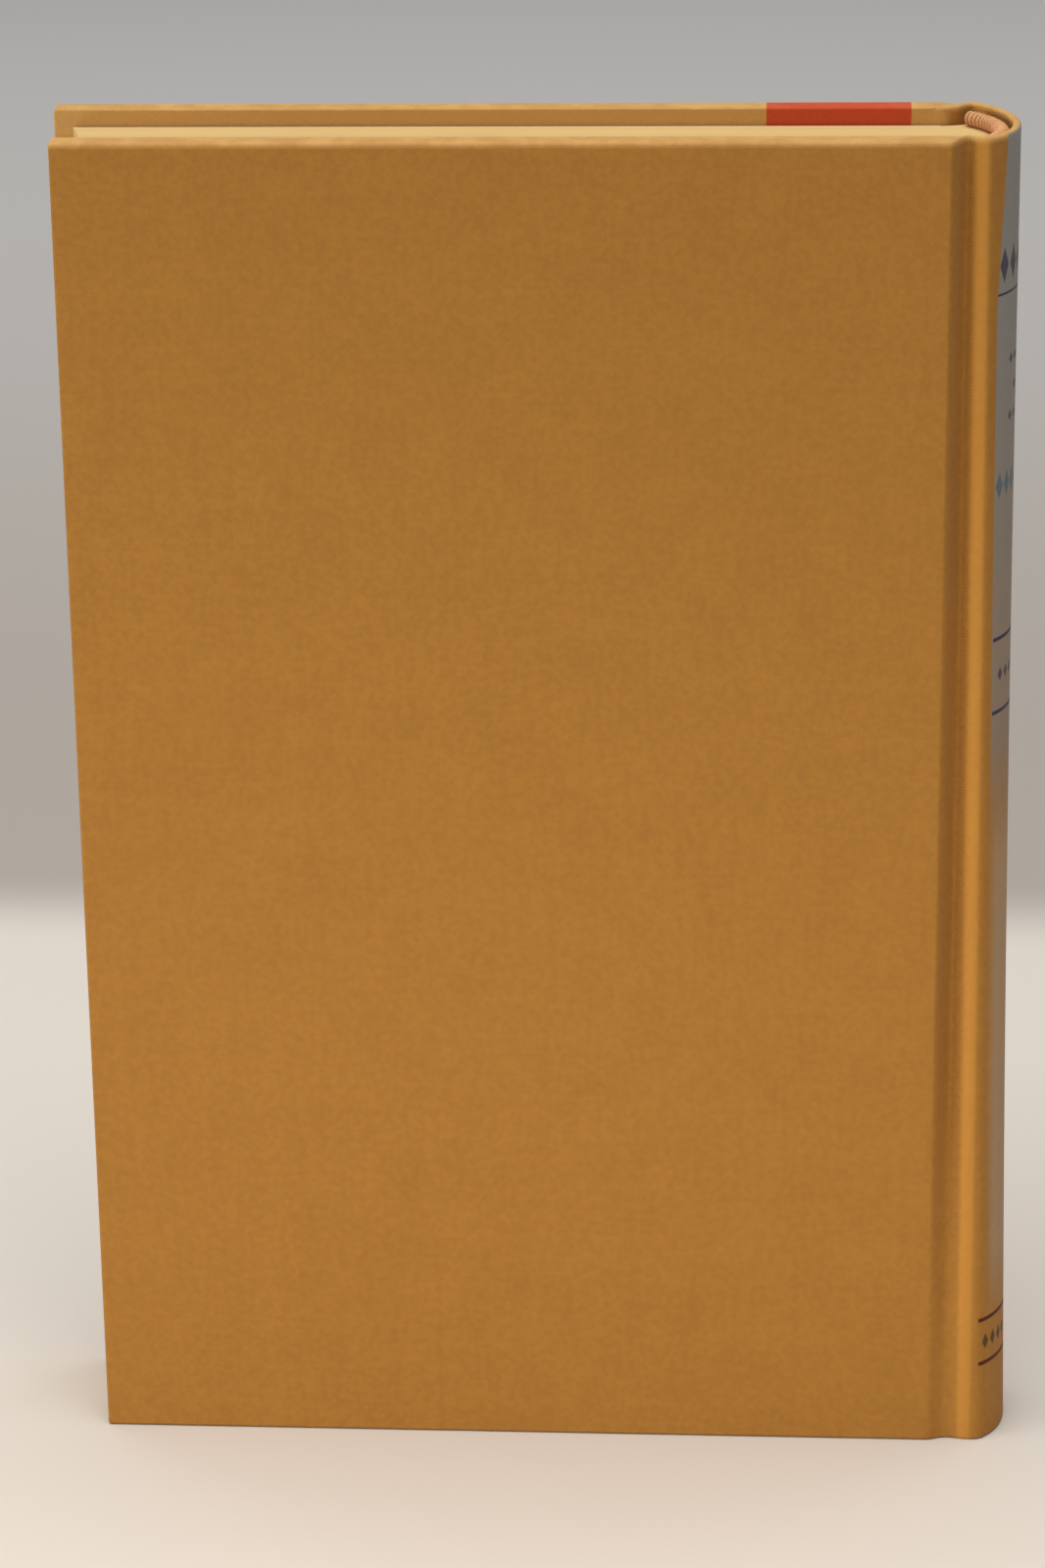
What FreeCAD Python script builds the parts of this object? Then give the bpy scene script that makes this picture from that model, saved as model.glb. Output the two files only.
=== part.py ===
import FreeCAD, Part
import math
import os
import Sketcher

# A case-bound hardback book, standing upright on its tail.
# X runs from the fore-edge to the spine, Y from the back cover to the front cover and Z up to the head.
# The origin is in the middle of the ground that the book stands on.
# The covers swing about the cloth in the two joint grooves, so the covering cloth is in three pieces here:
# one on each board, and one for the spine with both grooves.

# Driving dimensions, in millimetres
SIZES = [
    ("book_height", 241.0, "boards and cloth, tail to head"),
    ("cover_width", 149.0, "one cover, fore-edge to joint"),
    ("book_thickness", 26.0, "outer face to outer face of the covers"),
    ("lean", 2.0, "how far the front cover is pushed towards the fore-edge"),
    ("board_thickness", 3.0, "grey board"),
    ("cloth_thickness", 0.5, "book cloth with its glue"),
    ("paper_thickness", 0.2, "endpaper"),
    ("card_thickness", 0.8, "spine inlay"),
    ("mull_thickness", 0.3, "open cotton on the back of the pages"),
    ("lining_thickness", 0.3, "brown paper over the mull"),
    ("square", 3.0, "how far the covers stand past the pages"),
    ("turn_in", 15.0, "cloth folded round onto the inside"),
    ("paste_margin", 3.5, "turned-in cloth left showing round the pastedown"),
    ("edge_round", 1.2, "round of the cloth over the edges of a board"),
    ("cover_clearance", 0.3, "between a closed cover and the pages"),
    ("joint_clearance", 0.5, "between the cloth of a board and of its groove"),
    ("fore_edge_hollow", 1.2, "depth of the hollow fore-edge"),
    ("groove_offset", 2.4, "edge of the cover to the bottom of the groove"),
    ("groove_depth", 3.5, "face of the cover to the bottom of the groove"),
    ("groove_radius", 2.0, "round of the groove"),
    ("ridge_setback", 1.4, "face of the cover to the top of the ridge"),
    ("ridge_flat", 0.5, "flat stretch on top of the ridge, at the head"),
    ("ridge_radius", 2.4, "round of the ridge beside the spine"),
    ("crown_tail", 14.9, "edge of the cover to the crown of the spine, at the tail"),
    ("spine_taper", 3.1, "how much further the crown stands out at the tail than at the head"),
    ("back_clearance", 0.4, "between the lined pages and the case, at the head"),
    ("shoulder_start", 0.5, "edge of the cover to where the pages flare"),
    ("shoulder_inset", 1.1, "ridge to the tip of the shoulder"),
    ("shoulder_rise", 0.2, "middle of the ridge to the tip of the shoulder"),
    ("band_radius", 1.1, "rolled head and tail bands"),
    ("band_inset", 0.6, "back of the pages to the middle of a band"),
]

doc = FreeCAD.newDocument("hardback_book")
sheet = doc.addObject("Spreadsheet::Sheet", "Sizes")
for row, (alias, millimetres, note) in enumerate(SIZES, start=1):
    sheet.set(f"A{row}", alias.replace("_", " "))
    sheet.set(f"B{row}", str(millimetres))
    sheet.setAlias(f"B{row}", alias)
    sheet.set(f"C{row}", note)
doc.recompute()


# Lengths that keep their formula
class Length:
    """A length in millimetres, with the formula that ties it to the sheet."""

    def __init__(self, value, formula):
        self.value = float(value)
        self.formula = formula

    def __add__(self, other):
        other = as_length(other)
        return Length(self.value + other.value, f"({self.formula} + {other.formula})")

    def __sub__(self, other):
        other = as_length(other)
        return Length(self.value - other.value, f"({self.formula} - {other.formula})")

    def __mul__(self, other):
        other = as_length(other)
        return Length(self.value * other.value, f"({self.formula} * {other.formula})")

    def __truediv__(self, other):
        other = as_length(other)
        return Length(self.value / other.value, f"({self.formula} / {other.formula})")

    def __neg__(self):
        return Length(-self.value, f"(0 - {self.formula})")


def as_length(number):
    return number if isinstance(number, Length) else Length(number, str(number))


def root(square_of_length):
    return Length(math.sqrt(square_of_length.value), f"sqrt({square_of_length.formula})")


def size(alias):
    return Length(getattr(sheet, alias), f"Sizes.{alias}")


worked_sizes = doc.addObject("App::VarSet", "Worked")


def worked(name, length):
    """Keep a length that is worked out from the sheet under a name of its own."""
    worked_sizes.addProperty("App::PropertyFloat", name)
    setattr(worked_sizes, name, length.value)
    worked_sizes.setExpression(name, length.formula)
    return Length(length.value, f"Worked.{name}")


zero = Length(0.0, "0")
height = size("book_height")
width = size("cover_width")
thickness = size("book_thickness")
lean = size("lean")
cloth = size("cloth_thickness")
paper = size("paper_thickness")
board = size("board_thickness")
card = size("card_thickness")
mull = size("mull_thickness")
square = size("square")
turn_in = size("turn_in")

face = worked("cover_face", thickness / 2)
board_face = worked("board_face", face - cloth)
board_back = worked("board_back", board_face - board)
turned_face = worked("turned_face", board_back - cloth)
paste_face = worked("paste_face", turned_face - paper)
page_face = worked("page_face", paste_face - size("cover_clearance") - paper)
# The box reaches from the leaning front cover's fore-edge to the crown, which leans half as far
middle_x = worked("middle_x", (width + size("crown_tail") - lean / 2 - lean) / 2)


def leant(x, y):
    """The book leans a little: what is nearer the front cover is also nearer the fore-edge."""
    return (x - lean * (y / thickness + 0.5), y)


# Sketches and features
def vector(point):
    return FreeCAD.Vector(point[0].value, point[1].value, 0)


def attach(sketch, body, role, level):
    """Lay a sketch on one of the body's own origin planes, at a height above it."""
    plane = next(feature for feature in body.Origin.OriginFeatures if feature.Role == role)
    sketch.AttachmentSupport = [(plane, "")]
    sketch.MapMode = "FlatFace"
    sketch.AttachmentOffset = FreeCAD.Placement(FreeCAD.Vector(0, 0, level.value), FreeCAD.Rotation())
    sketch.setExpression("AttachmentOffset.Base.z", level.formula)


def pin(sketch, geometry, position, point):
    """Hold a point of the sketch at its place from the sheet."""
    for kind, axis, length in (("DistanceX", -2, point[0]), ("DistanceY", -1, point[1])):
        if length.formula == "0":
            sketch.addConstraint(Sketcher.Constraint("PointOnObject", geometry, position, axis))
            continue
        place = Sketcher.Constraint(kind, -1, 1, geometry, position, length.value)
        index = sketch.addConstraint(place)
        sketch.renameConstraint(index, f"{kind.lower()}_{index}")
        sketch.setExpression(f"Constraints.{kind.lower()}_{index}", length.formula)


def draw(sketch, start, steps):
    """Draw from start: a step is (end,) for a straight side, or (through, end) for an arc."""
    corners = [start] + [step[-1] for step in steps]
    closed = corners[-1] is start
    ends = []
    for first, last, step in zip(corners, corners[1:], steps):
        if len(step) == 1:
            side = sketch.addGeometry(Part.LineSegment(vector(first), vector(last)), False)
        else:
            side = sketch.addGeometry(Part.Arc(vector(first), vector(step[0]), vector(last)), False)
            through = sketch.addGeometry(Part.Point(vector(step[0])), True)
            pin(sketch, through, 1, step[0])
            sketch.addConstraint(Sketcher.Constraint("PointOnObject", through, 1, side))
        kept_order = (sketch.getPoint(side, 1) - vector(first)).Length < 1e-6
        ends.append((side, 1, 2) if kept_order else (side, 2, 1))
    for (side, start_end, far_end), corner in zip(ends, corners):
        pin(sketch, side, start_end, corner)
    if not closed:
        pin(sketch, ends[-1][0], ends[-1][2], corners[-1])
    for (side, _, far_end), (following, near_end, _) in zip(ends, ends[1:] + ends[:1] * closed):
        sketch.addConstraint(Sketcher.Constraint("Coincident", side, far_end, following, near_end))


def sketch_outline(body, name, role, level, start, steps):
    sketch = body.newObject("Sketcher::SketchObject", name)
    attach(sketch, body, role, level)
    draw(sketch, start, steps)
    return sketch


def sketch_rectangle(body, name, role, level, low, high):
    corners = [low, (high[0], low[1]), high, (low[0], high[1])]
    return sketch_outline(body, name, role, level, low, [(corner,) for corner in corners[1:] + [low]])


def pad(body, name, sketch, length):
    feature = body.newObject("PartDesign::Pad", name)
    feature.Profile = sketch
    feature.Length = length.value
    feature.setExpression("Length", length.formula)
    return feature


def round_edges(body, name, base, wanted, radius):
    """Round the edges of base that are wanted."""
    doc.recompute()
    names = [f"Edge{i}" for i, edge in enumerate(base.Shape.Edges, start=1) if wanted(edge)]
    feature = body.newObject("PartDesign::Fillet", name)
    feature.Base = (base, names)
    feature.Radius = radius.value
    feature.setExpression("Radius", radius.formula)
    return feature


def place(piece, turned=False, x=None, y=None, z=None):
    """Put a piece at its place, turned head over tail if it belongs to the front cover."""
    half_turn = FreeCAD.Rotation(FreeCAD.Vector(1, 0, 0), 180 if turned else 0)
    spot = [zero if length is None else length for length in (x, y, z)]
    piece.Placement = FreeCAD.Placement(FreeCAD.Vector(*[length.value for length in spot]), half_turn)
    for axis, length in zip("xyz", spot):
        piece.setExpression(f"Placement.Base.{axis}", length.formula)


def new_body(name):
    body = doc.addObject("PartDesign::Body", name)
    body.Label = name
    return body


def named(kind, label):
    piece = doc.addObject(kind, label)
    piece.Label = label
    return piece


def cut(label, base, tool):
    piece = named("Part::Cut", label)
    piece.Base = base
    piece.Tool = tool
    return piece


# One cover: board, cloth and pastedown
def slab(name, outer_face, depth, low, high):
    """A flat plate parallel to the covers, drawn on its inner face and padded outwards."""
    body = new_body(name)
    sketch = sketch_rectangle(body, f"{name}_outline", "XZ_Plane", outer_face - depth, low, high)
    return body, pad(body, f"{name}_pad", sketch, depth)


def on_face(level):
    """Edges that lie all in the plane Y = -level."""
    return lambda edge: all(abs(vertex.Y + level) < 1e-6 for vertex in edge.Vertexes)


def cover(side, turned, x_place):
    """A cover in its own frame: X from its fore-edge, Z from its middle, its outer face towards -Y."""
    low_z = worked(f"{side}_half_height", height / 2)

    board_body, board_pad = slab(
        f"{side}_board", board_face, board, (cloth, cloth - low_z), (width - cloth, low_z - cloth)
    )
    round_edges(board_body, f"{side}_board_round", board_pad, on_face(board_face.value),
                size("edge_round") - cloth)

    wrap_body, wrap_pad = slab(
        f"{side}_wrap", face, board + cloth * 2, (zero, -low_z), (width, low_z)
    )
    round_edges(wrap_body, f"{side}_wrap_round", wrap_pad, on_face(face.value), size("edge_round"))

    opening, _ = slab(
        f"{side}_opening", board_back, cloth, (turn_in, turn_in - low_z), (width - cloth, low_z - turn_in)
    )

    margin = size("paste_margin")
    sheet_body, sheet_pad = slab(
        f"{side}_sheet", board_back, cloth + paper, (margin, margin - low_z), (width, low_z - margin)
    )
    step_in = worked(f"{side}_step", turn_in + paper)
    recess_sketch = sketch_rectangle(
        sheet_body, f"{side}_recess_outline", "XZ_Plane", board_back - paper,
        (step_in, step_in - low_z), (width, low_z - step_in)
    )
    recess = sheet_body.newObject("PartDesign::Pocket", f"{side}_recess")
    recess.Profile = recess_sketch
    recess.setExpression("Length", cloth.formula)

    for piece in (board_body, wrap_body, opening, sheet_body):
        place(piece, turned, x=x_place, z=low_z)

    wrapped = cut(f"{side}_wrap_round_board", wrap_body, board_body)
    cloth_piece = cut(f"{side}_cover_cloth", wrapped, opening)
    pastedown = cut(f"{side}_pastedown", sheet_body, cloth_piece)
    return [board_body, cloth_piece, pastedown]


# The case's spine: cloth over the grooves, ridges and round back
# Angles, from square to the cover, of a point halfway along each round of a ridge
RIDGE_MIDWAY = math.radians(35)
BEND_MIDWAY = math.radians(25)
groove_x = worked("groove_x", width + size("groove_offset"))
groove_y = worked("groove_y", face - size("groove_depth") + size("groove_radius"))
ridge_y = worked("ridge_y", face - size("ridge_setback") - size("ridge_radius"))
bend_sum = size("groove_radius") + size("ridge_radius")
ridge_step = worked("ridge_step", root(bend_sum * bend_sum - (groove_y - ridge_y) * (groove_y - ridge_y)))
ridge_x = worked("ridge_x", groove_x + ridge_step)
strip_x = worked("strip_x", width + size("joint_clearance"))
ridge_top = worked("ridge_top", ridge_y + size("ridge_radius"))
crown_head = worked("crown_head", width + size("crown_tail") - size("spine_taper"))
rise = worked("rise", crown_head - ridge_x - size("ridge_flat"))
ridge_round = size("ridge_radius")
back_radius = worked(
    "back_radius",
    (rise * rise + ridge_y * ridge_y - ridge_round * ridge_round) / ((rise - ridge_round) * 2)
)
spread = worked("spread", size("spine_taper") / height)
card_depth = worked("card_depth", cloth + card)
fold_depth = worked("fold_depth", card_depth + cloth)


def on_ridge(x, side, depth):
    """A point on the flat of a ridge: its lean doesn't change with depth, so the flat stays straight."""
    return (leant(x, ridge_top * side)[0], (ridge_top - depth) * side)


def joint_points(side, depth):
    """Groove and ridge on one side (-1 back, 1 front), at a depth in the cloth: arc ends and middles."""
    groove = size("groove_radius") + depth
    reach = groove_x - strip_x
    share = groove / bend_sum
    bend = ridge_round - depth
    flat = [
        (strip_x, groove_y - root(groove * groove - reach * reach)),
        (groove_x, groove_y - groove),
        (groove_x + ridge_step * share, groove_y - (groove_y - ridge_y) * share),
        (ridge_x - bend * math.sin(RIDGE_MIDWAY), ridge_y + bend * math.cos(RIDGE_MIDWAY)),
    ]
    return [leant(x, y * side) for x, y in flat] + [on_ridge(ridge_x, side, depth)]


def flat_end(level):
    """Where the flat of a ridge ends: it grows towards the tail, where the spine stands out further."""
    return ridge_x + size("ridge_flat") + spread * (height - level)


def round_points(side, depth, level):
    """Round back on one side, from the flat of the ridge to where its long arc begins."""
    back_x = flat_end(level) + rise - back_radius
    share = (back_radius - depth) / (back_radius - ridge_round)
    bend = ridge_round - depth
    flat = [
        (flat_end(level) + bend * math.sin(BEND_MIDWAY), ridge_y + bend * math.cos(BEND_MIDWAY)),
        (back_x + (flat_end(level) - back_x) * share, ridge_y * share),
    ]
    return [on_ridge(flat_end(level), side, depth)] + [leant(x, y * side) for x, y in flat]


def case_crown(depth, level):
    return leant(flat_end(level) + rise - depth, zero)


def slant(feature):
    """Pad along the slope of the spine, which stands out further at the tail."""
    feature.UseCustomVector = True
    feature.AlongSketchNormal = True
    feature.Direction = FreeCAD.Vector(-spread.value, 0, 1)
    feature.setExpression("Direction.x", (-spread).formula)
    return feature


def joint_wall(body, side_name, side):
    """Upright cloth of one groove, out to the top of its ridge."""
    outside, inside = joint_points(side, zero), joint_points(side, cloth)
    steps = [
        (outside[1], outside[2]),
        (outside[3], outside[4]),
        (inside[4],),
        (inside[3], inside[2]),
        (inside[1], inside[0]),
        (outside[0],),
    ]
    sketch = sketch_outline(body, f"{side_name}_groove_outline", "XY_Plane", zero, outside[0], steps)
    return pad(body, f"{side_name}_groove_cloth", sketch, height)


def ridge_wall(body, side_name, side):
    """Flat cloth on top of one ridge, a wedge that widens towards the tail."""
    inner_level = cloth - ridge_top if side > 0 else ridge_top
    start_x, foot_x, top_x = [
        on_ridge(x, side, zero)[0] for x in (ridge_x, flat_end(zero), flat_end(height))
    ]
    steps = [((foot_x, zero),), ((top_x, height),), ((start_x, height),)]
    start = (start_x, zero)
    sketch = sketch_outline(
        body, f"{side_name}_ridge_outline", "XZ_Plane", inner_level - cloth, start, steps + [(start,)]
    )
    return pad(body, f"{side_name}_ridge_cloth", sketch, cloth)


def round_skin(body):
    """Slanted cloth over the back, from the flat of one ridge to the flat of the other."""
    out_back, out_front = round_points(-1, zero, zero), round_points(1, zero, zero)
    in_back, in_front = round_points(-1, cloth, zero), round_points(1, cloth, zero)
    steps = [
        (out_back[1], out_back[2]),
        (case_crown(zero, zero), out_front[2]),
        (out_front[1], out_front[0]),
        (in_front[0],),
        (in_front[1], in_front[2]),
        (case_crown(cloth, zero), in_back[2]),
        (in_back[1], in_back[0]),
        (out_back[0],),
    ]
    sketch = sketch_outline(body, "back_skin_outline", "XY_Plane", zero, out_back[0], steps)
    return slant(pad(body, "back_skin", sketch, height))


def back_layer(body, name, outer, inner, low, high):
    """A slanted layer of the round back between two depths and two heights."""
    out_back, out_front = [round_points(side, outer, low)[2] for side in (-1, 1)]
    in_back, in_front = [round_points(side, inner, low)[2] for side in (-1, 1)]
    steps = [
        (case_crown(outer, low), out_front),
        (in_front,),
        (case_crown(inner, low), in_back),
        (out_back,),
    ]
    sketch = sketch_outline(body, f"{name}_outline", "XY_Plane", low, out_back, steps)
    return slant(pad(body, name, sketch, high - low))


def spine_inlay():
    """Card under the cloth of the round back."""
    body = new_body("spine_inlay")
    back_layer(body, "card", cloth, card_depth, cloth, height - cloth)
    place(body, x=-middle_x)
    return body


def spine_cloth():
    """Cloth over both grooves and the back, folded in over the card at tail and head."""
    body = new_body("spine_cloth")
    round_skin(body)
    for side_name, side in (("back", -1), ("front", 1)):
        ridge_wall(body, side_name, side)
        joint_wall(body, side_name, side)
    back_layer(body, "tail_rim", cloth, card_depth, zero, cloth)
    back_layer(body, "tail_fold", card_depth, fold_depth, zero, turn_in)
    back_layer(body, "head_rim", cloth, card_depth, height - cloth, height)
    back_layer(body, "head_fold", card_depth, fold_depth, height - turn_in, height)
    place(body, x=-middle_x)
    return body


# Pages and what is glued to their back
shoulder_x = worked("shoulder_x", width + size("shoulder_start"))
tip_x = worked("tip_x", ridge_x - size("shoulder_inset"))
tip_y = worked("tip_y", ridge_y + size("shoulder_rise"))
lined = worked("lined", size("lining_thickness") + mull)
page_back = worked("page_back", crown_head - fold_depth - size("back_clearance") - lined)
fold_middle_x = worked("fold_middle_x", (shoulder_x + tip_x) / 2)
fold_middle_y = worked("fold_middle_y", (page_face * 2 + tip_y) / 3)


def back_points(depth):
    """Shoulder, tip and crown of the pages' back, grown outwards by a depth."""
    flat = [
        (shoulder_x, page_face + depth),
        (fold_middle_x, fold_middle_y + depth),
        (tip_x, tip_y + depth),
    ]
    back = [leant(x, -y) for x, y in flat]
    front = [leant(x, y) for x, y in flat]
    return back, front, leant(page_back + depth, zero)


def text_block():
    body = new_body("text_block")
    back, front, crown = back_points(zero)
    corner = leant(square, -page_face)
    steps = [
        (back[0],),
        (back[1], back[2]),
        (crown, front[2]),
        (front[1], front[0]),
        (leant(square, page_face),),
        (leant(square + size("fore_edge_hollow"), zero), corner),
    ]
    outline = sketch_outline(body, "leaf_outline", "XY_Plane", square, corner, steps)
    pad(body, "leaves", outline, height - square * 2)
    place(body, x=-middle_x)
    return body


def flyleaf(side, y_place, x_at):
    sheet_piece = named("Part::Box", f"{side}_flyleaf")
    sheet_piece.setExpression("Length", (shoulder_x - square - size("cover_clearance")).formula)
    sheet_piece.setExpression("Width", paper.formula)
    sheet_piece.setExpression("Height", (height - square * 2).formula)
    place(sheet_piece, x=x_at - middle_x, y=y_place, z=square)
    return sheet_piece


def mull_piece():
    """Open cotton over the back and both shoulders of the pages."""
    body = new_body("mull")
    in_back, in_front, in_crown = back_points(zero)
    out_back, out_front, out_crown = back_points(mull)
    steps = [
        (in_back[1], in_back[2]),
        (in_crown, in_front[2]),
        (in_front[1], in_front[0]),
        (out_front[0],),
        (out_front[1], out_front[2]),
        (out_crown, out_back[2]),
        (out_back[1], out_back[0]),
        (in_back[0],),
    ]
    outline = sketch_outline(body, "mull_outline", "XY_Plane", square * 2, in_back[0], steps)
    pad(body, "mull_pad", outline, height - square * 4)
    place(body, x=-middle_x)
    return body


def spine_lining():
    """Brown paper over the mull, between the two shoulders."""
    body = new_body("spine_lining")
    in_back, in_front, in_crown = back_points(mull)
    out_back, out_front, out_crown = back_points(lined)
    steps = [
        (in_crown, in_front[2]),
        (out_front[2],),
        (out_crown, out_back[2]),
        (in_back[2],),
    ]
    outline = sketch_outline(body, "lining_outline", "XY_Plane", square * 2, in_back[2], steps)
    pad(body, "lining_pad", outline, height - square * 4)
    place(body, x=-middle_x)
    return body


def end_band(name, level):
    """A rolled band that sits on the end of the pages and follows their back."""
    body = new_body(name)
    inset = size("band_inset")
    reach = tip_y - inset / 2
    ends = [leant(tip_x - inset, reach * side) for side in (-1, 1)]
    path = sketch_outline(
        body, f"{name}_path", "XY_Plane", level, ends[0], [(leant(page_back - inset, zero), ends[1])]
    )
    doc.recompute()
    ring = body.newObject("Sketcher::SketchObject", f"{name}_ring")
    ring.AttachmentSupport = [(path, "Edge1")]
    ring.MapMode = "NormalToEdge"
    ring.MapPathParameter = 0
    circle = Part.Circle(FreeCAD.Vector(0, 0, 0), FreeCAD.Vector(0, 0, 1), size("band_radius").value)
    ring.addGeometry(circle, False)
    ring.addConstraint(Sketcher.Constraint("Coincident", 0, 3, -1, 1))
    radius = ring.addConstraint(Sketcher.Constraint("Radius", 0, size("band_radius").value))
    ring.renameConstraint(radius, "roll")
    ring.setExpression("Constraints.roll", size("band_radius").formula)
    roll = body.newObject("PartDesign::AdditivePipe", f"{name}_roll")
    roll.Profile = ring
    roll.Spine = (path, ["Edge1"])
    place(body, x=-middle_x)
    return body


# Put the book together
pieces = [text_block()]
pieces.append(flyleaf("back", -page_face - paper, leant(square, -page_face)[0]))
pieces.append(flyleaf("front", page_face, leant(square, page_face)[0]))
pieces += [mull_piece(), spine_lining()]
pieces.append(end_band("head_band", height - square + size("band_radius")))
pieces.append(end_band("tail_band", square - size("band_radius")))
pieces += [spine_inlay(), spine_cloth()]
pieces += cover("back", False, -middle_x)
pieces += cover("front", True, -middle_x - lean)
doc.recompute()

# Check and export
failed = [item.Name for item in doc.Objects if {"Invalid", "Error"} & set(item.State)]
if failed:
    raise RuntimeError(f"these objects failed: {failed}")
os.makedirs("parts", exist_ok=True)
for piece in pieces:
    if piece.Shape.isNull() or not piece.Shape.isValid():
        raise RuntimeError(f"{piece.Label} has no valid shape")
    piece.Shape.exportStep(f"parts/{piece.Label}.step")
    box = piece.Shape.optimalBoundingBox(False, False)
    print(f"{piece.Label}: {len(piece.Shape.Solids)} solid, {piece.Shape.Volume:.1f} mm3, "
          f"X {box.XMin:.2f} to {box.XMax:.2f}, Y {box.YMin:.2f} to {box.YMax:.2f}, "
          f"Z {box.ZMin:.2f} to {box.ZMax:.2f}")
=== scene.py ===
# %% [markdown]
# # A cloth-covered hardback book
# The real book is a block of pages between two boards, all wrapped in one sheet of mustard book cloth.
# It stands upright on its tail, with its back cover towards the camera and its fore-edge on the left.
# The CAD frame holds every part, each at its place. These cells add what it leaves hard-edged: soft edges,
# cloth and paper that bend at the joints, ribbed bands, and the finishes.
# The cells that model work in millimetres, and lengths become metres where a shape is made.

# %% Load the frame
import math

import bmesh
import bpy
from mathutils import Matrix, Vector


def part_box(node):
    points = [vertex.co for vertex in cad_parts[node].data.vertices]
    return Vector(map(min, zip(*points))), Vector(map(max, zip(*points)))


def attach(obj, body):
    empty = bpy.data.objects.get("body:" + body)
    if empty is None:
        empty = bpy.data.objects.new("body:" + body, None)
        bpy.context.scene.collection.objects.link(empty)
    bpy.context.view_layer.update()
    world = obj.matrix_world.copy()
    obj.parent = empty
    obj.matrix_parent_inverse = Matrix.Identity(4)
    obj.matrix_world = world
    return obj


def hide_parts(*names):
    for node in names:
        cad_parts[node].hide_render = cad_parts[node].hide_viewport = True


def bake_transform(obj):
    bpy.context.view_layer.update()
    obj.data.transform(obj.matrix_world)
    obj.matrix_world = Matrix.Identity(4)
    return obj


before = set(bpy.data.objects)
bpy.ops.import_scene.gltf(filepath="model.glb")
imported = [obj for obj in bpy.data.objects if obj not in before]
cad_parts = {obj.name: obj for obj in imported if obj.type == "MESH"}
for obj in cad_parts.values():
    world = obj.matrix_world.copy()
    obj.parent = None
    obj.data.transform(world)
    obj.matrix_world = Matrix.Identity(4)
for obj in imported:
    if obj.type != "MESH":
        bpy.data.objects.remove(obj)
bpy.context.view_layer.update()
MM = 0.001
print("nodes:", sorted(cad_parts))

# %% [markdown]
# ## Measures
# New pieces have to fit the CAD parts, so their places are read from the CAD boxes and not typed in again.
# Back is the side towards the camera (-Y) and front is the far side (+Y).
# In the cells below, side is -1 for the back and 1 for the front.
# The front cover is pushed a little towards the fore-edge, and what lies between the covers leans with it.

# %% Main measures
low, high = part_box("back_cover_cloth")
FORE_EDGE = low.x / MM
COVER_END = high.x / MM
HEIGHT = high.z / MM
FACE = -low.y / MM
TURNED_FACE = -high.y / MM
LEAN = (low.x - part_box("front_cover_cloth")[0].x) / MM
CROWN_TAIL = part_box("spine_cloth")[1].x / MM + LEAN / 2
CLOTH = 0.5
CARD = 0.8
TURN_IN = 15.0
print("height", HEIGHT, "cover", COVER_END - FORE_EDGE, "thickness", FACE * 2, "lean", LEAN)


def leant(x, y):
    """X of a point once the book leans."""
    return x - LEAN * (y / (FACE * 2) + 0.5)


def upright(x, y):
    """X of a point with the lean taken out again."""
    return x + LEAN * (y / (FACE * 2) + 0.5)


def cover_shift(side):
    """How far along X a cover lies from the back cover."""
    return -LEAN if side > 0 else 0


# %% [markdown]
# ## Two ways to get from one value to another
# mix goes evenly. smooth_step starts and stops gently, which is how cloth leaves a flat surface.

# %% Smooth steps
def smooth_step(share):
    share = min(max(share, 0.0), 1.0)
    return share * share * (3 - 2 * share)


def mix(first, second, share):
    return first + (second - first) * share


print("a quarter of the way becomes", smooth_step(0.25))

# %% [markdown]
# ## From a bmesh to a finished piece
# Most new pieces are sheets. A sheet could be typed in as corners and faces, but create_grid makes clean
# squares by itself, so laid_grid starts from a grid and only carries each corner to its place.
# finished turns the normals outwards, shades the piece smooth, and keeps edges sharp past a given angle.
# A piece stays at the origin, unturned and unscaled: its place is in its mesh, as it is in the CAD nodes.

# %% Finished pieces and laid sheets
def finished(name, bm, angle=40):
    """Turn a bmesh into an object with its normals outward and its sharp edges kept sharp."""
    bmesh.ops.recalc_face_normals(bm, faces=bm.faces)
    mesh = bpy.data.meshes.new(name)
    bm.to_mesh(mesh)
    bm.free()
    mesh.shade_smooth()
    mesh.set_sharp_from_angle(angle=math.radians(angle))
    piece = bpy.data.objects.new(name, mesh)
    bpy.context.scene.collection.objects.link(piece)
    return piece


def laid_grid(name, across, along, place, angle=40):
    """A grid whose corners go where place(u, v) says, in millimetres; u and v run from 0 to 1."""
    bm = bmesh.new()
    bmesh.ops.create_grid(bm, x_segments=across, y_segments=along, size=0.5)
    for corner in bm.verts:
        corner.co = Vector(place(corner.co.x + 0.5, corner.co.y + 0.5)) * MM
    bmesh.ops.remove_doubles(bm, verts=bm.verts, dist=1e-6)
    return finished(name, bm, angle)


def tell(piece):
    print(piece.name, "has", len(piece.data.polygons), "faces")


# %% [markdown]
# ## The covers
# A cover is grey board in a wrap of cloth. Glued cloth follows its board exactly, so there is no need to
# drape a thin sheet: a box with bevelled edges looks the same, with far fewer faces.
# Some edges are softer than others, so soften bevels the edges whose two ends pass a test.

# %% Boxes with soft edges
NEAR = 0.01
SOFT_EDGE = 0.5
SOFT_CORNER = 0.55
SOFT_INSIDE = 0.35


def box_mesh(x_low, x_high, y_low, y_high, z_low, z_high):
    bm = bmesh.new()
    bmesh.ops.create_cube(bm, size=1.0)
    size = Vector((x_high - x_low, y_high - y_low, z_high - z_low)) * MM
    middle = Vector((x_high + x_low, y_high + y_low, z_high + z_low)) * MM / 2
    bmesh.ops.scale(bm, vec=size, verts=bm.verts)
    bmesh.ops.translate(bm, vec=middle, verts=bm.verts)
    return bm


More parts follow.
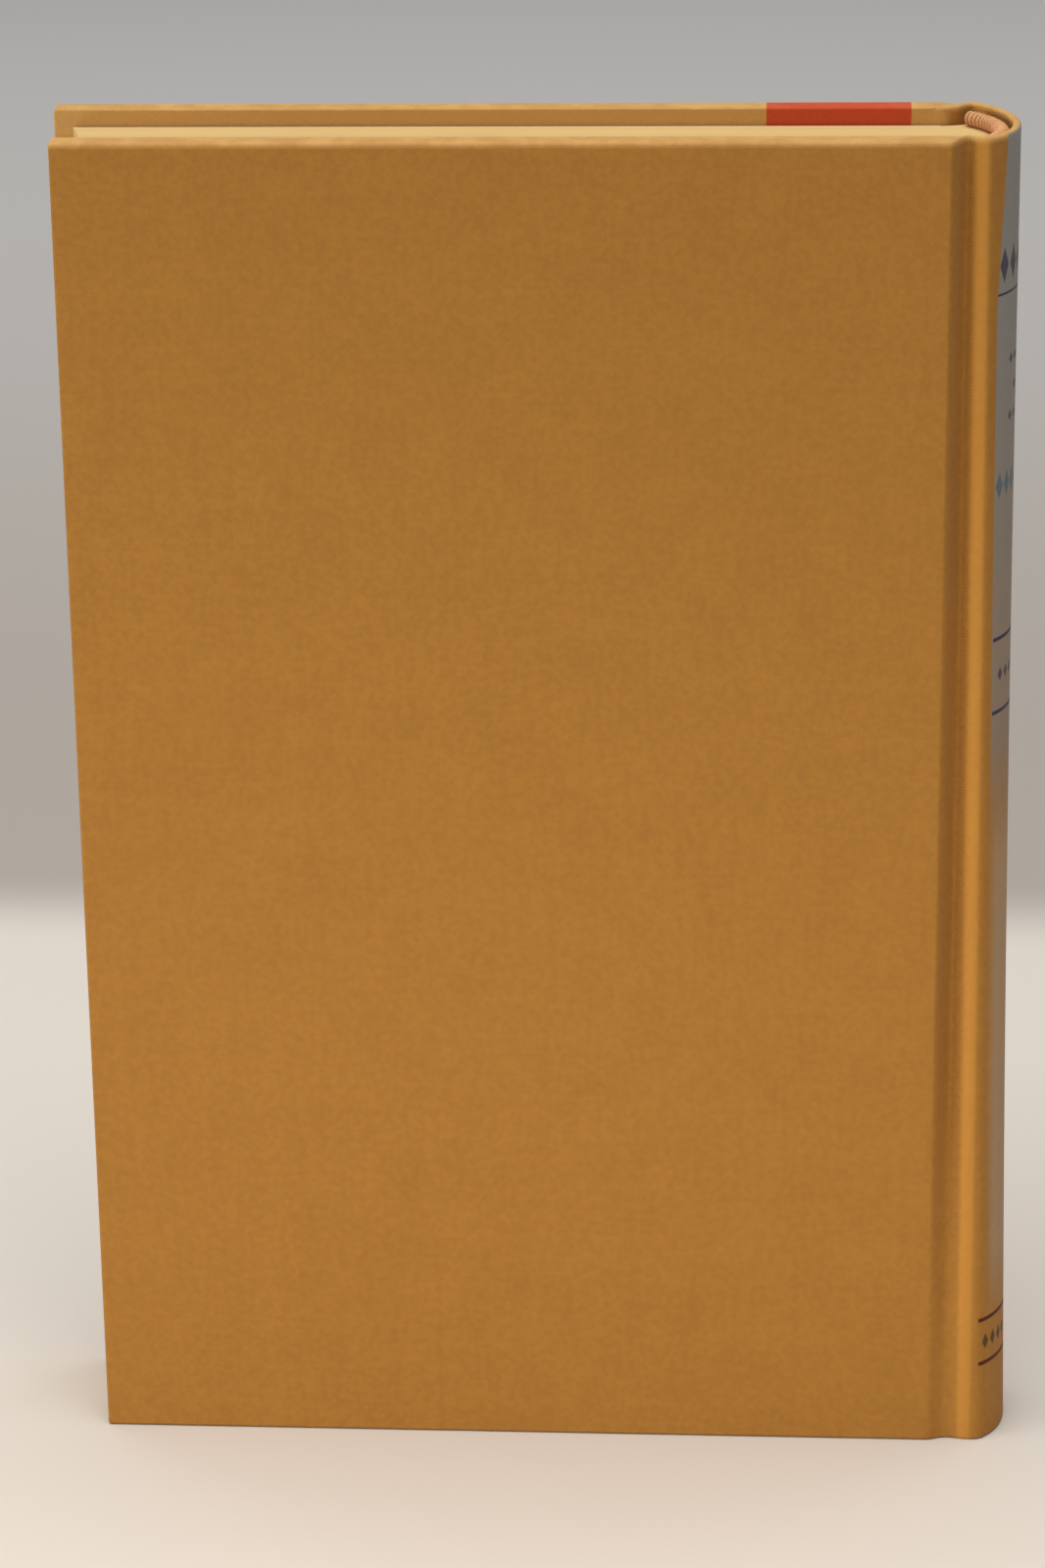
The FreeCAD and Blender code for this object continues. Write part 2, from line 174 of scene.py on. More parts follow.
def soften(bm, wanted, radius, segments):
    edges = [edge for edge in bm.edges if all(wanted(end.co / MM) for end in edge.verts)]
    bmesh.ops.bevel(bm, geom=edges, offset=radius * MM, segments=segments, profile=0.5,
                    affect="EDGES", material=-1)


print("edge radii", SOFT_EDGE, SOFT_CORNER, SOFT_INSIDE)

# %% [markdown]
# ## Turned-in cloth
# The cloth is turned in 15 mm deep over the board's edges, and the endpaper is pasted over it.
# That leaves the middle of the inside lower by one thickness of cloth.
# A boolean could cut this hollow, but it can leave long thin triangles. Here four planes cut the box,
# and the middle of its inner face is extruded inwards, so the flat faces stay rectangles.
# A weighted normal modifier then keeps the big flat faces flat beside their small bevels.

# %% Cover cloth
HINGE_GAP = 0.3
UNDER_SHEET = 0.02
SUNK_GAP = 0.6


def cover_cloth(side_name, side, fore_edge):
    """Cloth all round the board; side is -1 for the back cover and 1 for the front one."""
    end = fore_edge + COVER_END - FORE_EDGE - HINGE_GAP
    inner, outer = TURNED_FACE * side, (FACE - UNDER_SHEET) * side
    bm = box_mesh(fore_edge, end, min(inner, outer), max(inner, outer), 0, HEIGHT)
    soften(bm, lambda spot: spot.x < fore_edge + NEAR and spot.z > HEIGHT - NEAR, SOFT_CORNER, 4)
    soften(bm, lambda spot: spot.x < fore_edge + NEAR and spot.z < NEAR, SOFT_CORNER, 4)
    soften(bm, lambda spot: abs(spot.y - outer) < NEAR, SOFT_EDGE, 5)
    soften(bm, lambda spot: abs(spot.y - inner) < NEAR, SOFT_INSIDE, 3)
    sink_middle(bm, side, inner, fore_edge + TURN_IN, end - SUNK_GAP)
    piece = finished(side_name + "_cover_cloth_soft", bm, 30)
    flat_shading = piece.modifiers.new("even_shading", "WEIGHTED_NORMAL")
    flat_shading.keep_sharp = True
    flat_shading.weight = 100
    return piece


def sink_middle(bm, side, inner, start, end):
    """Cut the inner face where the turned-in cloth ends, and push its middle in by one cloth."""
    for x, z, normal in [
        (start, 0, (1, 0, 0)),
        (end, 0, (1, 0, 0)),
        (0, TURN_IN, (0, 0, 1)),
        (0, HEIGHT - TURN_IN, (0, 0, 1)),
    ]:
        everything = bm.verts[:] + bm.edges[:] + bm.faces[:]
        bmesh.ops.bisect_plane(bm, geom=everything, plane_co=(x * MM, 0, z * MM), plane_no=normal)
    sunk = []
    for face in bm.faces:
        middle = face.calc_center_median() / MM
        within = start < middle.x < end and TURN_IN < middle.z < HEIGHT - TURN_IN
        if within and abs(middle.y - inner) < NEAR:
            sunk.append(face)
    moved = bmesh.ops.extrude_face_region(bm, geom=sunk)["geom"]
    corners = [part for part in moved if isinstance(part, bmesh.types.BMVert)]
    bmesh.ops.translate(bm, vec=(0, CLOTH * side * MM, 0), verts=corners)
    bmesh.ops.delete(bm, geom=[face for face in sunk if face.is_valid], context="FACES_ONLY")


print("turned in by", TURN_IN, "mm")

# %% [markdown]
# ## Boards
# The board is hidden on the closed book, but it is a part of its own, so it stays a piece of its own,
# one thickness of cloth inside the wrap.
# Cloth and board ride on their cover's body, and replace the CAD node that each stands for.

# %% Boards, and both covers put together
def cover_board(side_name, side, fore_edge):
    end = fore_edge + COVER_END - FORE_EDGE - HINGE_GAP - CLOTH
    inner, outer = (TURNED_FACE + CLOTH * 1.1) * side, (FACE - CLOTH) * side
    bm = box_mesh(fore_edge + CLOTH, end, min(inner, outer), max(inner, outer), CLOTH, HEIGHT - CLOTH)
    soften(bm, lambda spot: abs(spot.y - outer) < NEAR, SOFT_EDGE, 3)
    return finished(side_name + "_board_core", bm)


covers = {}
for side_name, side, fore_edge in [("back", -1, FORE_EDGE), ("front", 1, FORE_EDGE - LEAN)]:
    cloth_piece = cover_cloth(side_name, side, fore_edge)
    board_piece = cover_board(side_name, side, fore_edge)
    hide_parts(side_name + "_cover_cloth")
    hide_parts(side_name + "_board")
    for piece in (cloth_piece, board_piece):
        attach(piece, side_name + "_cover")
        tell(piece)
    covers[side_name] = (cloth_piece, board_piece)

# %% [markdown]
# ## The shape of joint and spine
# Beside each board the cloth falls into a groove, where the cover bends. It climbs out over a ridge,
# which is the shoulder of the pages, and goes round the back to the crown.
# A profile curve swept along the spine would be the usual way, but this one changes on its way up:
# the crown stands out further at the tail, the groove fades out near the ends, and the back is twisted
# a little. So each measure of the profile is a small function of the height z.

# %% Crown, groove and ridge
CROWN_SPREAD = 2.3
GROOVE_SHALLOW = 1.0
GROOVE_DEEP = 3.5
GROOVE_FAR_HEAD = 0.9
RIDGE_DEPTH = 1.4
SPINE_TWIST = 0.9


def flare(z):
    """The spine stands out further towards the tail."""
    return max(1 - z / HEIGHT, 0.0) ** 2.2


def crown_at(z):
    return CROWN_TAIL - CROWN_SPREAD + CROWN_SPREAD * flare(z)


def twist_at(z):
    """How far the round of the back is turned along Y; it changes sides half way up."""
    return SPINE_TWIST * (2 * z / HEIGHT - 1)


def groove_at(z):
    return COVER_END + 3.3 - 0.2 * smooth_step((z - 140) / 90)


def ridge_at(z):
    return COVER_END + 5.6 + 1.3 * (1 - z / HEIGHT)


def flat_end(z):
    return ridge_at(z) + 0.1 + 1.2 * flare(z)


def ridge_round(z):
    """Radius of the bend beside the ridge."""
    return 2.4 + 0.6 * flare(z)


def ridge_depth(z, side):
    """How far the ridge lies under the cover's face; less on the far side towards the head."""
    return RIDGE_DEPTH - (0.5 * z / HEIGHT if side > 0 else 0)


def bend_middle(z, side):
    return FACE - ridge_depth(z, side) - ridge_round(z)


def groove_depth(z, side):
    """The groove fades out at the tail on both sides, and at the head on the far side."""
    depth = mix(GROOVE_SHALLOW, GROOVE_DEEP, smooth_step(z / 90)) + 0.2 * z / HEIGHT
    if side > 0:
        depth = mix(GROOVE_FAR_HEAD, depth, smooth_step((HEIGHT - z) / 16))
    return depth


print("crown at head and tail", round(crown_at(HEIGHT), 2), round(crown_at(0), 2))

# %% [markdown]
# ## The line in plan
# Seen from above, half of the case is one line of five pieces: the fall into the groove, the climb onto
# the ridge, a short flat, a tight bend, and the wide round of the back. Each piece takes a fixed share of
# the grid, so that the grid's columns follow the groove and the ridge from head to tail.
# The radius of the back comes from a little geometry: its circle has to touch the bend's circle.

# %% Line of half the case
FALL_START = COVER_END - 0.3
SHEET_START = COVER_END - 1.2


def back_round(z, side):
    """Radius of the round back, and the angle where it meets the bend beside the ridge."""
    rise, bend, middle = crown_at(z) - flat_end(z), ridge_round(z), bend_middle(z, side)
    radius = (rise ** 2 + middle ** 2 - bend ** 2) / (2 * (rise - bend))
    return radius, math.atan2(middle, radius - rise)


def case_line(share, z, side):
    """Point on the line of half the case: x, and y counted outwards from the middle of the book."""
    radius, meet = back_round(z, side)
    depth, ridge = groove_depth(z, side), ridge_depth(z, side)
    bend_x, bend_y, bend = flat_end(z), bend_middle(z, side), ridge_round(z)
    pieces = [
        (0.28, lambda s: fall(s, SHEET_START, groove_at(z), FALL_START, depth)),
        (0.18, lambda s: climb(s, depth, ridge, groove_at(z), ridge_at(z))),
        (0.06, lambda s: (mix(ridge_at(z), bend_x, s), FACE - ridge)),
        (0.18, lambda s: on_circle(bend_x, bend_y, bend, mix(math.pi / 2, meet, s))),
        (0.30, lambda s: on_circle(crown_at(z) - radius, 0.0, radius, meet * (1 - s))),
    ]
    for length, at in pieces:
        if share <= length + 1e-9:
            return at(min(share / length, 1.0))
        share -= length
    return pieces[-1][1](1.0)


def fall(share, first_x, last_x, start_x, depth):
    """Flat as far as start_x, then down into the groove."""
    x = mix(first_x, last_x, share)
    eased = smooth_step((x - start_x) / (last_x - start_x))
    return x, FACE - mix(0.0, depth, eased)


def climb(share, depth, ridge, groove_x, ridge_x):
    """Out of the groove onto the ridge: steep at first, then rounding over."""
    eased = mix(math.sin(share * math.pi / 2), smooth_step(share), 0.3)
    return mix(groove_x, ridge_x, share), FACE - mix(depth, ridge, eased)


def on_circle(middle_x, middle_y, radius, angle):
    return middle_x + radius * math.cos(angle), middle_y + radius * math.sin(angle)


print("back radius at head and tail", [round(back_round(z, -1)[0], 2) for z in (HEIGHT, 0)])

# %% [markdown]
# ## Thickness
# Cloth has two faces. A Solidify modifier would give one thickness all over, but at head and tail the
# turned-in cloth is doubled and wraps a card as well. So case_point finds a point at any depth under the
# outer face: along Y over the cover, where it has to lie against the board, and squarely to the line from
# the groove on. The direction of the line is found from two points close by.

# %% A point inside the cloth
STEP = 0.002


def case_point(share, z, depth, side):
    """A point of the spine's cloth at a depth under its outer surface, in the row's frame."""
    x, y = case_line(share, z, side)
    x_before, y_before = case_line(max(share - STEP, 0), z, side)
    x_after, y_after = case_line(min(share + STEP, 1), z, side)
    along = Vector((x_after - x_before, y_after - y_before)).normalized()
    squarely = smooth_step((share - 0.24) / 0.2)
    climbed = smooth_step((x - groove_at(z)) / (ridge_at(z) - groove_at(z)))
    x, y = x + along.y * depth * squarely, y - mix(1, along.x, squarely) * depth
    y = y * side + twist_at(z) * climbed
    return leant(x, y), y


def rim_depth(share, z, side):
    """Thickness of the turned-in cloth: two layers, the board's edge and the card between them."""
    x, y = case_line(share, z, side)
    leaving = smooth_step((x - COVER_END) / (ridge_at(z) + 1 - COVER_END))
    inner = mix(TURNED_FACE - UNDER_SHEET, y - CLOTH * 2, leaving)
    return max(CLOTH * 2, y - inner) + CARD / 2 * smooth_step((share - 0.5) / 0.14)


print("rim at groove and crown", [round(rim_depth(s, HEIGHT, -1), 2) for s in (0.28, 1)])

# %% [markdown]
# ## Up, over and down again
# The grid's other direction goes up the outer face, over a soft rim at the head, down the inner face and
# round the rim at the tail back to its start. Its last row lands on its first, and remove_doubles closes
# the sheet. The rim is a rectangle with round corners; a half circle would start too low
# and would leave a notch beside the cover.

# %% Closed line from tail to head and back
RIM_STEPS = 9
RIM_SOFT = 0.6
FACE_STEPS = 30
LOOP_STEPS = FACE_STEPS * 2 + RIM_STEPS * 2


def over_the_rim(share, thick, soft):
    """Round an outer edge, straight across the thickness and round the inner edge."""
    step = share * RIM_STEPS
    quarter = (RIM_STEPS - 1) / 2
    if step <= quarter:
        angle = math.pi / 2 * step / quarter
        return soft - soft * math.cos(angle), soft * math.sin(angle)
    angle = math.pi / 2 * (RIM_STEPS - step) / quarter
    return thick - soft + soft * math.cos(angle), soft * math.sin(angle)


def up_the_sheet(v, thick):
    """Depth and height along the closed line up the outside, over the head and down inside."""
    soft = min(thick / 2.2, RIM_SOFT)
    lift = RIM_SOFT
    rounds = RIM_STEPS / LOOP_STEPS
    flats = FACE_STEPS / LOOP_STEPS
    if v < flats:
        return 0.0, mix(lift, HEIGHT - lift, v / flats)
    v -= flats
    if v < rounds:
        depth, up = over_the_rim(v / rounds, thick, soft)
        return depth, HEIGHT - lift + up * lift / soft
    v -= rounds
    if v < flats:
        z = mix(HEIGHT - lift, lift, v / flats)
        inside = smooth_step((min(z, HEIGHT - z) - TURN_IN + 2) / 4)
        return mix(thick, max(thick - CLOTH, CLOTH), inside), z
    v -= flats
    depth, up = over_the_rim(1 - min(v / rounds, 1), thick, soft)
    return depth, lift - up * lift / soft


print("rows round the sheet:", LOOP_STEPS)

# %% [markdown]
# ## Where the print goes
# The panel and rules are printed round the back. Object coordinates run straight through the curve and
# would stretch them at the sides, so each corner gets an attribute instead: its distance from the crown,
# measured round the back. Corners on the inner face get a value that no print reaches.

# %% Distance round the back
UNPRINTED = 90.0
OUTER_SKIN = 0.3


def measure_round_back(piece, side):
    """Keep each corner's distance from the crown, round the back, for the printed panel."""
    marks = piece.data.attributes.new("around", "FLOAT", "POINT")
    for corner, mark in zip(piece.data.vertices, marks.data):
        x, y, z = corner.co / MM
        x = upright(x, y)
        y = max((y - twist_at(z)) * side, 0.0)
        radius, meet = back_round(z, side)
        from_middle = Vector((x - crown_at(z) + radius, y))
        from_bend = Vector((x - flat_end(z), y - bend_middle(z, side)))
        bend = ridge_round(z)
        turned = math.atan2(from_middle.y, from_middle.x)
        if turned < meet:
            distance = radius * turned
            depth = radius - from_middle.length
        elif from_bend.x > 0:
            distance = radius * meet + bend * (math.atan2(from_bend.y, from_bend.x) - meet)
            depth = bend - from_bend.length
        else:
            distance = radius * meet + bend * (math.pi / 2 - meet) - from_bend.x
            depth = 0.0
        mark.value = side * (distance if depth < OUTER_SKIN else UNPRINTED)


print("inner corners are marked", UNPRINTED)

# %% [markdown]
# ## Cloth over the joints
# Each half of the spine is one sheet from a cover to the crown, over one joint.


def spine_half(side_name, side):
    def place(u, v):
        z = up_the_sheet(v, CLOTH * 4)[1]
        depth, z = up_the_sheet(v, rim_depth(u, z, side))
        x, y = case_point(u, z, depth, side)
        return x, y, z

    piece = laid_grid(side_name + "_joint_cloth", 64, LOOP_STEPS, place, 50)
    measure_round_back(piece, side)
    return piece


joint_cloths = {}
for side_name, side in [("back", -1), ("front", 1)]:
    piece = spine_half(side_name, side)
    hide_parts("spine_cloth")
    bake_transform(piece)
    joint_cloths[side_name] = piece
    tell(piece)

# %% [markdown]
# ## The card in the spine
# A thin card under the cloth keeps the back round. It uses the same case_point, a little deeper, so it
# follows every bend of the cloth without being fitted by hand.

# %% Spine card
CARD_SHARE = 0.6


def card_place(u, v):
    share = mix(CARD_SHARE, 1.0, 1 - abs(2 * u - 1))
    side = -1 if u < 0.5 else 1
    inside = v > 0.5
    z = mix(CLOTH * 2, HEIGHT - CLOTH * 2, 1 - abs(2 * v - 1))
    x, y = case_point(share, z, CLOTH * 1.2 + (CARD * 0.8 if inside else 0), side)
    return x, y, z


spine_card = laid_grid("spine_card", 40, 8, card_place)
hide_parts("spine_inlay")
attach(spine_card, "book")
tell(spine_card)

# %% [markdown]
# ## Head and tail bands
# A band is a fat roll of ribbed cotton glued on the end of the pages, and it follows their round back.
# The ribs could be bump only, but they show in the outline, so the roll's radius really goes up and down.
# A second attribute, crest, says how high on a rib a corner lies, so that painted shade can darken the
# valleys between.
# A corner's place along the roll is found again by a few steps of walking back to the roll's middle line.

# %% Bands
RIBS = 25
RIB_LOW = 0.72
RIB_ROUND = 0.7
BAND_START = COVER_END + 5.0
BAND_BOW = 4.4
BAND_SKEW = 0.4
BAND_RADIUS = 1.3
BAND_END = 0.94
BAND_CLOSING = 0.0605


def band(name, level, lift):
    low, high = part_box(name)
    reach = (high.y - low.y) / 2 / MM - 1.1

    def middle_line(along):
        x = BAND_START - BAND_SKEW * along + BAND_BOW * (1 - along * along)
        middle = Vector((x, reach * along))
        return middle, Vector((1, 2 * BAND_BOW * along / reach)).normalized()

    def place(u, v):
        along = 2 * u - 1
        (x, y), outward = middle_line(along)
        crest = abs(math.sin(math.pi * RIBS * u)) ** RIB_ROUND
        closing = math.sqrt(1 - min(max(abs(along) - BAND_END, 0.0) / BAND_CLOSING, 1.0) ** 2)
        radius = BAND_RADIUS * mix(RIB_LOW, 1.0, crest) * closing
        turn = 2 * math.pi * v
        x, y = x + outward.x * radius * math.cos(turn), y + outward.y * radius * math.cos(turn)
        return leant(x, y), y, level + lift * radius * math.sin(turn)

    piece = laid_grid(name + "_ribbed", RIBS * 8, 14, place, 80)
    marks = piece.data.attributes.new("crest", "FLOAT", "POINT")
    for corner, mark in zip(piece.data.vertices, marks.data):
        x, y, _ = corner.co / MM
        spot = Vector((upright(x, y), y))
        along = y / reach
        for _ in range(6):
            middle, outward = middle_line(along)
            along = (y - (spot - middle).dot(outward) * outward.y) / reach
        mark.value = abs(math.sin(math.pi * RIBS * (along + 1) / 2))
    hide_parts(name)
    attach(piece, "book")
    tell(piece)
    return piece


page_low, page_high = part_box("text_block")
bands = [
    band("head_band", page_high.z / MM + BAND_RADIUS, 1),
    band("tail_band", page_low.z / MM - BAND_RADIUS, -1),
]

# %% [markdown]
# ## The endpapers' hinges
# An endpaper is one folded sheet: one half is pasted to the board and the other lies on the pages.
# CAD has the halves, and this strip joins them across the joint. It starts in the sunk middle of the
# cover, goes over the turned-in cloth and ends under the free half.

# %% Endpaper hinges
PAPER_START = COVER_END - 2.4
PAPER_END = COVER_END + 2.6
PAPER_MARGIN = 3.6
PASTED = TURNED_FACE - 0.22
OVER_CLOTH = TURNED_FACE - 0.15
UNDER_LEAF = TURNED_FACE - 0.8


def paper_level(v):
    """Rows lie close together where the cover's middle begins to be sunk."""
    up = min(v, 1 - v)
    if up < 0.2:
        z = mix(PAPER_MARGIN, TURN_IN - 1, up / 0.2)
    elif up < 0.3:
        z = TURN_IN - 1 + (up - 0.2) * 20
    else:
        z = mix(TURN_IN + 1, HEIGHT / 2, (up - 0.3) / 0.2)
    return z if v < 0.5 else HEIGHT - z


def paper_hinge(side_name, side):
    def place(u, v):
        x, z = mix(PAPER_START, PAPER_END, u), paper_level(v)
        sunk = smooth_step((min(z, HEIGHT - z) - TURN_IN + 1) / 2)
        y = mix(PASTED + CLOTH * sunk, OVER_CLOTH, smooth_step((x - PAPER_START) / 1.3))
        y = mix(y, UNDER_LEAF, smooth_step((x - COVER_END) / (PAPER_END - COVER_END)))
        return x + cover_shift(side), y * side, z

    piece = laid_grid(side_name + "_paper_hinge", 24, 20, place)
    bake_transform(piece)
    return piece


paper_hinges = [paper_hinge("back", -1), paper_hinge("front", 1)]
print([piece.name for piece in paper_hinges])

# %% [markdown]
# ## Materials
# Every finish is built of shader nodes, so it has no picture file and stays sharp at any distance.
# Patterns read object coordinates: they are in metres and stay with the piece.
# The class below only shortens the writing: most methods add a node, join it and return its output.

# %% Helpers for materials
def srgb(red, green, blue):
    def linear(value):
        value /= 255
        return value / 12.92 if value <= 0.04045 else ((value + 0.055) / 1.055) ** 2.4
    return (linear(red), linear(green), linear(blue), 1.0)


class Nodes:
    """A short way to add nodes to one material and join them."""

    def __init__(self, name):
        self.material = bpy.data.materials.new(name)
        self.material.use_nodes = True
        self.tree = self.material.node_tree
        self.shader = self.tree.nodes["Principled BSDF"]
        self.place = self.add("ShaderNodeTexCoord").outputs["Object"]

    def add(self, kind, **settings):
        node = self.tree.nodes.new(kind)
        for name, value in settings.items():
            setattr(node, name, value)
        return node

    def join(self, source, target):
        if hasattr(source, "is_output"):
            self.tree.links.new(source, target)
        else:
            target.default_value = source

    def maths(self, operation, first, second=0.0):
        node = self.add("ShaderNodeMath", operation=operation)
        self.join(first, node.inputs[0])
        self.join(second, node.inputs[1])
        return node.outputs[0]

    def stretched(self, x, y, z):
        node = self.add("ShaderNodeMapping")
        self.join(self.place, node.inputs["Vector"])
        node.inputs["Scale"].default_value = (x, y, z)
        return node.outputs["Vector"]

    def noise(self, vector, scale, detail=2.0, roughness=0.5):
        node = self.add("ShaderNodeTexNoise")
        self.join(vector, node.inputs["Vector"])
        node.inputs["Scale"].default_value = scale
        node.inputs["Detail"].default_value = detail
        node.inputs["Roughness"].default_value = roughness
        return node.outputs["Fac"]

    def range(self, value, low, high, first=0.0, last=1.0, kind="SMOOTHSTEP"):
        node = self.add("ShaderNodeMapRange", interpolation_type=kind)
        for name, number in [("From Min", low), ("From Max", high), ("To Min", first), ("To Max", last)]:
            node.inputs[name].default_value = number
        self.join(value, node.inputs["Value"])
        return node.outputs["Result"]

    def blend(self, share, first, second):
        node = self.add("ShaderNodeMix", data_type="RGBA")
        self.join(share, node.inputs["Factor"])
        self.join(first, node.inputs[6])
        self.join(second, node.inputs[7])
        return node.outputs[2]

    def axes(self):
        node = self.add("ShaderNodeSeparateXYZ")
        self.join(self.place, node.inputs[0])
        return node.outputs[0], node.outputs[1], node.outputs[2]

    def between(self, value, low, high, soft):
        up = self.range(value, low - soft, low + soft)
        down = self.range(value, high - soft, high + soft, 1.0, 0.0)
        return self.maths("MULTIPLY", up, down)

    def bump(self, height, strength, distance, before=None):
        node = self.add("ShaderNodeBump")
        node.inputs["Strength"].default_value = strength
        node.inputs["Distance"].default_value = distance
        self.join(height, node.inputs["Height"])
        if before is not None:
            self.join(before, node.inputs["Normal"])
        return node.outputs["Normal"]

    def done(self, colour, roughness, normal=None, sheen=0.0):
        self.join(colour, self.shader.inputs["Base Color"])
        self.join(roughness, self.shader.inputs["Roughness"])
        self.shader.inputs["Specular IOR Level"].default_value = 0.25
        self.shader.inputs["Sheen Weight"].default_value = sheen
        if normal is not None:
            self.join(normal, self.shader.inputs["Normal"])
        return self.material


print("mid grey in linear light", round(srgb(128, 128, 128)[0], 3))

# %% [markdown]
# ## The weave and its colour
# Book cloth is a plain weave of about 0.55 mm, with thicker threads here and there and slightly uneven dye.
# Two sine waves multiplied give the over-and-under of a plain weave without modelling a single thread.
# The gaps between threads get painted shade, and noise stretched along the threads gives the slubs.

# %% Woven cloth
MUSTARD = srgb(174, 120, 48)
MUSTARD_LIGHT = srgb(188, 132, 52)
MUSTARD_DARK = srgb(158, 104, 40)
# The colour of the painted shade between the threads.
MUSTARD_WEAVE_SHADE = srgb(132, 84, 34)
THREAD_PITCH = 0.00055
THREAD_HEIGHT = 0.00012


def woven(nodes):
    """Height of a plain weave: threads along X and along Z go over and under each other."""
    x, y, z = nodes.axes()
    reach = nodes.maths("ADD", x, y)
    pitch = 2 * math.pi / THREAD_PITCH
    warp = nodes.maths("SINE", nodes.maths("MULTIPLY", reach, pitch))
    weft = nodes.maths("SINE", nodes.maths("MULTIPLY", z, pitch))
    return nodes.maths("MULTIPLY", warp, weft)


def cloth_colour(nodes, weave):
    patches = nodes.noise(nodes.place, 90, 3)
    slubs = nodes.noise(nodes.stretched(40, 40, 900), 1.0, 2)
    threads = nodes.noise(nodes.stretched(900, 900, 60), 1.0, 2)
    colour = nodes.blend(nodes.range(patches, 0.3, 0.7), MUSTARD_DARK, MUSTARD_LIGHT)
    colour = nodes.blend(0.9, colour, MUSTARD)
    colour = nodes.blend(nodes.range(slubs, 0.45, 0.75, 0.0, 0.14), colour, MUSTARD_LIGHT)
    colour = nodes.blend(nodes.range(threads, 0.45, 0.75, 0.0, 0.14), colour, MUSTARD_DARK)
    uneven = nodes.noise(nodes.place, 900, 2)
    # Painted shade in the hollows of the weave, uneven from place to place.
    hollow = nodes.range(weave, -1, 1, 1.0, 0.0)
    depth = nodes.maths("MULTIPLY", hollow, nodes.range(uneven, 0.3, 0.7, 0.1, 0.5))
    return nodes.blend(depth, colour, MUSTARD_WEAVE_SHADE)


print("threads in 10 mm:", round(0.01 / THREAD_PITCH, 1))

# %% [markdown]
# ## Painted highlight, wear and painted shade on the edges
# The cloth's head edges are pale: mostly painted highlight from the light above, partly rubbing where a
# finger pulls the book off a shelf. The tail edge gets a dark line of painted shade where it stands on the
# floor.
# Both start from the height: a range of z picks them out, and noise breaks the pale edge up so that it is not
# one even stripe.

# %% Painted highlight and wear on the head, painted shade on the tail
# The pale head-edge colour: mostly painted highlight from the light above, partly rubbing.
LIT_AND_RUBBED = srgb(234, 186, 114)
# The dark tail-edge colour: painted shade where the book stands on the floor.
TAIL_SHADE = srgb(70, 42, 20)


def head_edge_light_and_wear(nodes):
    """Pale head edges, mostly painted highlight and partly rubbing, and painted highlight on the turned-in
    cloth near the head.
    """
    x, y, z = nodes.axes()
    head = nodes.range(z, (HEIGHT - 1.3) * MM, (HEIGHT - 0.2) * MM)
    uneven = nodes.range(nodes.noise(nodes.place, 260, 3), 0.3, 0.7, 0.4, 0.62)
    from_middle = nodes.maths("ABSOLUTE", y)
    # Painted highlight on the turned-in cloth inside the head, beside the spine.
    inside = nodes.range(from_middle, (TURNED_FACE + 0.3) * MM, (TURNED_FACE + 1.0) * MM, 0.5, 0.0)
    beside = nodes.range(x, (COVER_END - 1) * MM, (COVER_END + 1) * MM, 1.0, 0.0)
    turned_in = nodes.maths("MULTIPLY", inside, nodes.range(z, (HEIGHT - 9) * MM, (HEIGHT - 3) * MM))
    turned_in = nodes.maths("MULTIPLY", turned_in, beside)
    return nodes.maths("MAXIMUM", nodes.maths("MULTIPLY", head, uneven), turned_in)


print("lit and rubbed head, shaded tail:", [round(part, 2) for part in LIT_AND_RUBBED + TAIL_SHADE])

# %% [markdown]
# ## The finished cloth
# The head edges' painted highlight and wear, and the tail edge's painted shade, are laid over the cloth's own
# colour, and the print over them. A quarter of the head edges' painted highlight and wear then shows through
# the print, because print is lit and rubbed off together with the cloth.
# The three cloths differ only in their print, so the print is a function that is handed in.
# A cover is plain or has the red band; the spine has its panel.

# %% Cloth material
def cloth_material(name, print_on=None):
    nodes = Nodes(name)
    weave = woven(nodes)
    head_light_and_wear = head_edge_light_and_wear(nodes)
    # Painted highlight, with some rubbing, on the head edges and near the head inside.
    colour = nodes.blend(head_light_and_wear, cloth_colour(nodes, weave), LIT_AND_RUBBED)
    # Painted shade: a dark line along the tail edge, where the book meets the floor.
    tail_shade = nodes.range(nodes.axes()[2], 0.0001, 0.0006, 0.6, 0.0)
    colour = nodes.blend(tail_shade, colour, TAIL_SHADE)
    if print_on is not None:
        printed = print_on(nodes, colour)
        # A quarter of the head edges' painted highlight and wear shows through the print.
        colour = nodes.blend(nodes.maths("MULTIPLY", head_light_and_wear, 0.25), printed, colour)
    grain = nodes.noise(nodes.place, 1400, 2)
    normal = nodes.bump(weave, 0.25, THREAD_HEIGHT, nodes.bump(grain, 0.25, 0.0002))
    return nodes.done(colour, 0.85, normal, 0.05)


plain_cloth = cloth_material("mustard_cloth")
covers["back"][0].data.materials.append(plain_cloth)
print("made", plain_cloth.name)

# %% [markdown]
# ## The red band
# A red band runs down the front cover beside the spine and over its head edge.
# One range of x makes it, so it goes round the edges by itself, as a print on cloth does.

# %% Red band on the front cover
RED_BAND = srgb(200, 54, 26)
RED_START = COVER_END - 30.5
RED_END = COVER_END - 6.3


def red_band(nodes, colour):
    """A red printed band down the front cover beside the spine, carried over its edges."""
    band = nodes.between(nodes.axes()[0], RED_START * MM, RED_END * MM, 0.0001)
    return nodes.blend(band, colour, RED_BAND)


banded_cloth = cloth_material("mustard_cloth_banded", red_band)
covers["front"][0].data.materials.append(banded_cloth)
print("the red band is", round(RED_END - RED_START, 1), "mm wide")

# %% [markdown]
# ## Rules and lozenges
# A rule is a short range of z that stops at a distance round the back.
# A row of lozenges comes from folding that distance again and again with PINGPONG, so that one lozenge
# repeats; where the two distances from its middle add up to less than one, there is ink.

